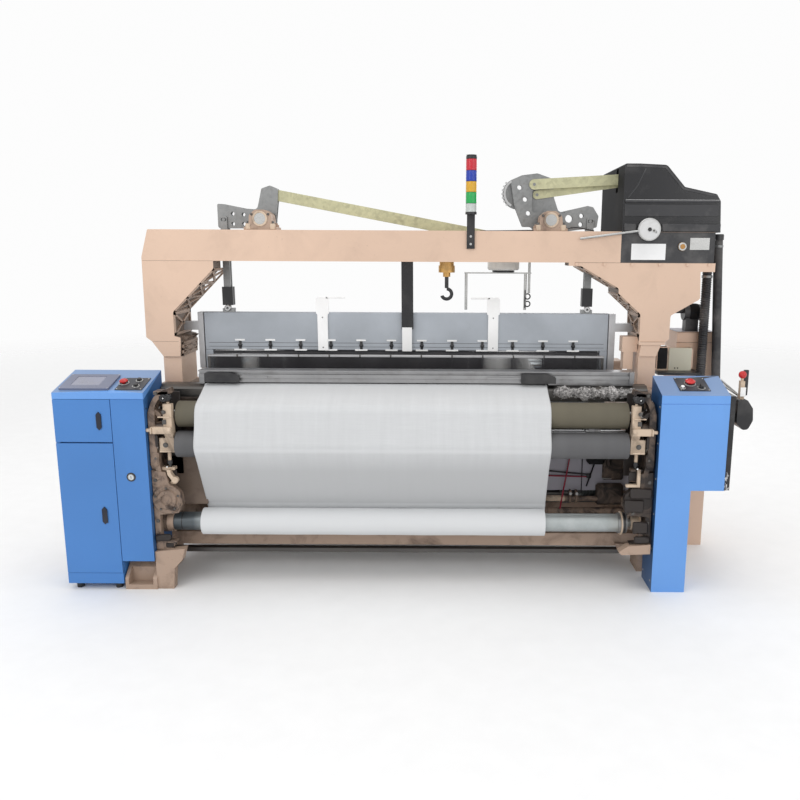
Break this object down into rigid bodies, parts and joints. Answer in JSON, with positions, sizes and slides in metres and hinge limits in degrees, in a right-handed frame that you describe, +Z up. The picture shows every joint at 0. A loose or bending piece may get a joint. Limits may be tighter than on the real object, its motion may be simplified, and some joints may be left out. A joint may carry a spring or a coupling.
{
  "type": "power loom",
  "caption": "Wide shuttleless power loom: arched frame with heald lifting levers, swinging reed, cloth take-up rollers, warp beam and two control cabinets.",
  "frame": {"origin": "middle of the footprint, on the floor", "axes": "+X to the weaver's right along the cloth's width, +Y from the cloth side to the warp side, +Z up"},
  "size_m": [3.421, 1.455, 2.139],
  "materials": {
    "beige_paint": "semi-gloss machine enamel",
    "blue_paint": "semi-gloss sheet-metal paint",
    "cream_paint": "worn semi-gloss enamel",
    "black_cover": "moulded cover, slightly shiny",
    "black_case": "black paint over cast iron",
    "steel": "machined",
    "dark_steel": "oiled",
    "chrome_tube": "ground and plated",
    "alloy": "drawn bar, satin",
    "roller_cover": "grip covering",
    "reed_wire": "polished wires",
    "cloth_white": "plain woven cloth",
    "lint_fluff": "loose fibre",
    "yarn_white": "wound yarn",
    "red_button": "moulded",
    "black_button": "moulded",
    "white_button": "moulded",
    "screen": "bezel and pane",
    "lens": "stacked coloured rings",
    "black_steel": "black paint",
    "brass_hook": "worn",
    "hose_rubber": "matt",
    "motor_iron": "grey paint over cast iron"
  },
  "bodies": {
    "loom_frame": {"left_side_frame": "beige_paint", "right_side_frame": "beige_paint", "cross_members": "beige_paint", "arch_beam": "beige_paint", "left_arch_column": "beige_paint", "right_arch_column": "beige_paint", "breast_beam": "dark_steel", "temple_rail": "alloy", "temples": "black_steel", "cloth": "cloth_white", "lint_heap": "lint_fluff", "left_cabinet": "blue_paint", "touch_screen": "screen", "right_cabinet": "blue_paint", "roller_brackets": "beige_paint", "press_levers": "cream_paint", "lever_bearings": "beige_paint", "shedding_case": "black_case", "shedding_cover": "black_cover", "brake_housing": "black_cover", "light_pole": "black_steel", "tower_lenses": "lens", "frame_guides": "cream_paint", "arch_hook": "brass_hook", "yarn_stand": "steel", "yarn_package": "yarn_white", "rear_hoses": "hose_rubber", "rear_box": "beige_paint", "warp_sheet": "cloth_white", "drive_motor": "motor_iron"},
    "take_up_roller": {"take_up_roller": "roller_cover"},
    "press_roller": {"press_roller": "roller_cover"},
    "cloth_beam": {"cloth_beam": "chrome_tube", "cloth_roll": "cloth_white"},
    "upper_door": {"upper_door": "blue_paint"},
    "lower_door": {"lower_door": "blue_paint"},
    "left_stop_button": {"left_stop_button": "red_button"},
    "start_button": {"start_button": "black_button"},
    "jog_button": {"jog_button": "black_button"},
    "right_stop_button": {"right_stop_button": "red_button"},
    "white_button": {"white_button": "white_button"},
    "turn_knob": {"turn_knob": "black_button"},
    "sley": {"sley": "alloy", "reed": "reed_wire"},
    "front_heald_frames": {"front_heald_frames": "alloy", "front_lift_rods": "steel"},
    "rear_heald_frames": {"rear_heald_frames": "alloy", "rear_lift_rods": "steel"},
    "hand_lever": {"hand_lever": "steel"},
    "brake_lever": {"brake_lever": "cream_paint"},
    "warp_beam": {"warp_beam": "dark_steel"},
    "back_rest_roller": {"back_rest_roller": "chrome_tube"},
    "front_left_lever": {"front_left_lever": "steel"},
    "front_right_lever": {"front_right_lever": "steel"},
    "front_cross_rod": {"front_cross_rod": "steel"},
    "front_pull_rod": {"front_pull_rod": "steel"},
    "rear_left_lever": {"rear_left_lever": "steel"},
    "rear_right_lever": {"rear_right_lever": "steel"},
    "rear_cross_rod": {"rear_cross_rod": "steel"},
    "rear_pull_rod": {"rear_pull_rod": "steel"}
  },
  "joints": [
    {"name": "take_up_turn", "type": "hinge", "parent": "loom_frame", "child": "take_up_roller", "pos_m": [-0.0395, -0.6125, 0.879], "axis": [1, 0, 0], "continuous": true},
    {"name": "press_turn", "type": "hinge", "parent": "loom_frame", "child": "press_roller", "pos_m": [-0.0395, -0.6505, 0.736], "axis": [1, 0, 0], "continuous": true},
    {"name": "cloth_beam_turn", "type": "hinge", "parent": "loom_frame", "child": "cloth_beam", "pos_m": [-0.0395, -0.5955, 0.3185], "axis": [1, 0, 0], "continuous": true},
    {"name": "warp_beam_turn", "type": "hinge", "parent": "loom_frame", "child": "warp_beam", "pos_m": [-0.0395, 0.4075, 0.47], "axis": [1, 0, 0], "continuous": true},
    {"name": "back_rest_turn", "type": "hinge", "parent": "loom_frame", "child": "back_rest_roller", "pos_m": [-0.0395, 0.4675, 0.953], "axis": [1, 0, 0], "continuous": true},
    {"name": "sley_swing", "type": "hinge", "parent": "loom_frame", "child": "sley", "pos_m": [-0.0395, -0.2825, 0.7], "axis": [1, 0, 0], "range_deg": [0, 16]},
    {"name": "upper_door_hinge", "type": "hinge", "parent": "loom_frame", "child": "upper_door", "pos_m": [-1.7025, -0.7145, 0.86], "axis": [0, 0, -1], "range_deg": [0, 110]},
    {"name": "lower_door_hinge", "type": "hinge", "parent": "loom_frame", "child": "lower_door", "pos_m": [-1.7025, -0.7145, 0.42], "axis": [0, 0, -1], "range_deg": [0, 110]},
    {"name": "left_stop_button_press", "type": "slide", "parent": "loom_frame", "child": "left_stop_button", "axis": [0, 0.2717, -0.9624], "range_m": [0, 0.006], "stiffness_N_per_m": 400, "springref_m": -0.003},
    {"name": "start_button_press", "type": "slide", "parent": "loom_frame", "child": "start_button", "axis": [0, 0.2717, -0.9624], "range_m": [0, 0.006], "stiffness_N_per_m": 400, "springref_m": -0.003},
    {"name": "jog_button_press", "type": "slide", "parent": "loom_frame", "child": "jog_button", "axis": [0, 0.2717, -0.9624], "range_m": [0, 0.006], "stiffness_N_per_m": 400, "springref_m": -0.003},
    {"name": "right_stop_button_press", "type": "slide", "parent": "loom_frame", "child": "right_stop_button", "axis": [0, 0.3281, -0.9446], "range_m": [0, 0.006], "stiffness_N_per_m": 400, "springref_m": -0.003},
    {"name": "white_button_press", "type": "slide", "parent": "loom_frame", "child": "white_button", "axis": [0, 0.3281, -0.9446], "range_m": [0, 0.006], "stiffness_N_per_m": 400, "springref_m": -0.003},
    {"name": "turn_knob_turn", "type": "hinge", "parent": "loom_frame", "child": "turn_knob", "pos_m": [1.4085, -0.65966, 1.03442], "axis": [0, -0.3281, 0.9446], "range_deg": [-45, 45]},
    {"name": "front_shed", "type": "slide", "parent": "loom_frame", "child": "front_heald_frames", "axis": [0, 0, 1], "range_m": [-0.04, 0.04]},
    {"name": "front_left_lever_turn", "type": "hinge", "parent": "loom_frame", "child": "front_left_lever", "pos_m": [-0.7685, -0.2105, 1.83], "axis": [0, 1, 0], "range_deg": [-10.5, 10.5]},
    {"name": "front_right_lever_turn", "type": "hinge", "parent": "loom_frame", "child": "front_right_lever", "pos_m": [0.6975, -0.2105, 1.83], "axis": [0, 1, 0], "range_deg": [-10.5, 10.5]},
    {"name": "front_cross_rod_turn", "type": "hinge", "parent": "front_left_lever", "child": "front_cross_rod", "pos_m": [-0.7285, -0.201, 1.958], "axis": [0, 1, 0], "range_deg": [-10.5, 10.5]},
    {"name": "front_pull_rod_turn", "type": "hinge", "parent": "front_right_lever", "child": "front_pull_rod", "pos_m": [0.6225, -0.22, 2.014], "axis": [0, 1, 0], "range_deg": [-10.5, 10.5]},
    {"name": "rear_shed", "type": "slide", "parent": "loom_frame", "child": "rear_heald_frames", "axis": [0, 0, 1], "range_m": [-0.04, 0.04]},
    {"name": "rear_left_lever_turn", "type": "hinge", "parent": "loom_frame", "child": "rear_left_lever", "pos_m": [-0.7685, -0.1825, 1.83], "axis": [0, 1, 0], "range_deg": [-10.5, 10.5]},
    {"name": "rear_right_lever_turn", "type": "hinge", "parent": "loom_frame", "child": "rear_right_lever", "pos_m": [0.6975, -0.1825, 1.83], "axis": [0, 1, 0], "range_deg": [-10.5, 10.5]},
    {"name": "rear_cross_rod_turn", "type": "hinge", "parent": "rear_left_lever", "child": "rear_cross_rod", "pos_m": [-0.7285, -0.173, 1.958], "axis": [0, 1, 0], "range_deg": [-10.5, 10.5]},
    {"name": "rear_pull_rod_turn", "type": "hinge", "parent": "rear_right_lever", "child": "rear_pull_rod", "pos_m": [0.6405, -0.192, 1.964], "axis": [0, 1, 0], "range_deg": [-10.5, 10.5]},
    {"name": "hand_lever_turn", "type": "hinge", "parent": "loom_frame", "child": "hand_lever", "pos_m": [1.1845, -0.3885, 1.785], "axis": [0, 1, 0], "range_deg": [-45, 45]},
    {"name": "brake_lever_turn", "type": "hinge", "parent": "loom_frame", "child": "brake_lever", "pos_m": [1.6175, -0.6225, 0.95], "axis": [1, 0, 0], "range_deg": [-20, 20]}
  ],
  "couplings": [
    {"joint": "press_turn", "follows": "take_up_turn", "ratio": 1},
    {"joint": "cloth_beam_turn", "follows": "take_up_turn", "ratio": -0.942},
    {"joint": "front_left_lever_turn", "follows": "front_shed", "rad_per_m": 4.5249},
    {"joint": "front_right_lever_turn", "follows": "front_shed", "rad_per_m": -4.5249},
    {"joint": "front_cross_rod_turn", "follows": "front_shed", "rad_per_m": -4.5249},
    {"joint": "front_pull_rod_turn", "follows": "front_shed", "rad_per_m": 4.5249},
    {"joint": "rear_left_lever_turn", "follows": "rear_shed", "rad_per_m": 4.5249},
    {"joint": "rear_right_lever_turn", "follows": "rear_shed", "rad_per_m": -4.5249},
    {"joint": "rear_cross_rod_turn", "follows": "rear_shed", "rad_per_m": -4.5249},
    {"joint": "rear_pull_rod_turn", "follows": "rear_shed", "rad_per_m": 4.5249}
  ]
}
